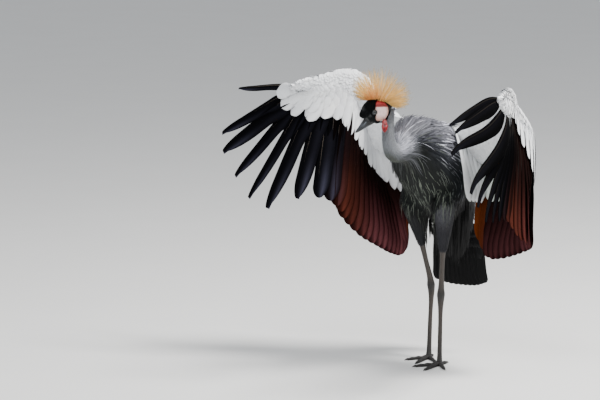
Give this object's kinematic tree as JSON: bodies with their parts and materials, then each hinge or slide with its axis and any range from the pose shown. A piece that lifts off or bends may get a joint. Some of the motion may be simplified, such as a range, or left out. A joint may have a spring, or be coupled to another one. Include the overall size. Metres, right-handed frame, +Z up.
{
  "type": "grey crowned crane",
  "caption": "Still, life-size grey crowned crane standing with wings held open, neck folded, head turned to its right and a golden bristle crest raised.",
  "frame": {"origin": "on the floor plane, under the middle of the model's bounding box", "axes": "+Z up, the bird's body faces -Y, its left side is +X; the longest extent, wing tip to wing tip, lies along X"},
  "size_m": [1.0025, 0.7636, 0.8634],
  "materials": {
    "bill_lower": "dark grey horn, satin",
    "bill_upper": "dark grey horn, satin",
    "claw_left_1": "dark horn claw, satin",
    "claw_left_2": "dark horn claw, satin",
    "claw_left_3": "dark horn claw, satin",
    "claw_left_4": "dark horn claw, satin",
    "claw_right_1": "dark horn claw, satin",
    "claw_right_2": "dark horn claw, satin",
    "claw_right_3": "dark horn claw, satin",
    "claw_right_4": "dark horn claw, satin",
    "crest": "straw-golden stiff bristles, satin",
    "eye_left": "pale grey-blue iris with black pupil under a clear cornea, glossy",
    "eye_right": "pale grey-blue iris with black pupil under a clear cornea, glossy",
    "foot_left": "dark grey-brown scaled toes, satin",
    "foot_right": "dark grey-brown scaled toes, satin",
    "head": "velvety black cap feathers and pale pink bare cheek skin, matte",
    "neck": "pale grey short feathers, matte",
    "shank_left": "dark grey-brown scaled leg skin, satin",
    "shank_right": "dark grey-brown scaled leg skin, satin",
    "tail": "black tail feathers, low sheen",
    "tarsus_left": "dark grey-brown scaled leg skin, satin",
    "tarsus_right": "dark grey-brown scaled leg skin, satin",
    "thigh_left": "dark slate short feathers, matte",
    "thigh_right": "dark slate short feathers, matte",
    "torso": "slate grey contour feathers with pale lanceolate plumes, matte",
    "wattle": "crimson bare skin, satin",
    "wing_left_hand": "black flight feathers under white coverts, low sheen",
    "wing_left_inner": "chestnut flight feathers under white and golden coverts, low sheen",
    "wing_right_hand": "black flight feathers under white coverts, low sheen",
    "wing_right_inner": "chestnut flight feathers under white and golden coverts, low sheen"
  },
  "bodies": {
    "root": {"bill_lower": "bill_lower", "bill_upper": "bill_upper", "claw_left_1": "claw_left_1", "claw_left_2": "claw_left_2", "claw_left_3": "claw_left_3", "claw_left_4": "claw_left_4", "claw_right_1": "claw_right_1", "claw_right_2": "claw_right_2", "claw_right_3": "claw_right_3", "claw_right_4": "claw_right_4", "crest": "crest", "eye_left": "eye_left", "eye_right": "eye_right", "foot_left": "foot_left", "foot_right": "foot_right", "head": "head", "neck": "neck", "shank_left": "shank_left", "shank_right": "shank_right", "tail": "tail", "tarsus_left": "tarsus_left", "tarsus_right": "tarsus_right", "thigh_left": "thigh_left", "thigh_right": "thigh_right", "torso": "torso", "wattle": "wattle", "wing_left_hand": "wing_left_hand", "wing_left_inner": "wing_left_inner", "wing_right_hand": "wing_right_hand", "wing_right_inner": "wing_right_inner"}
  },
  "joints": []
}
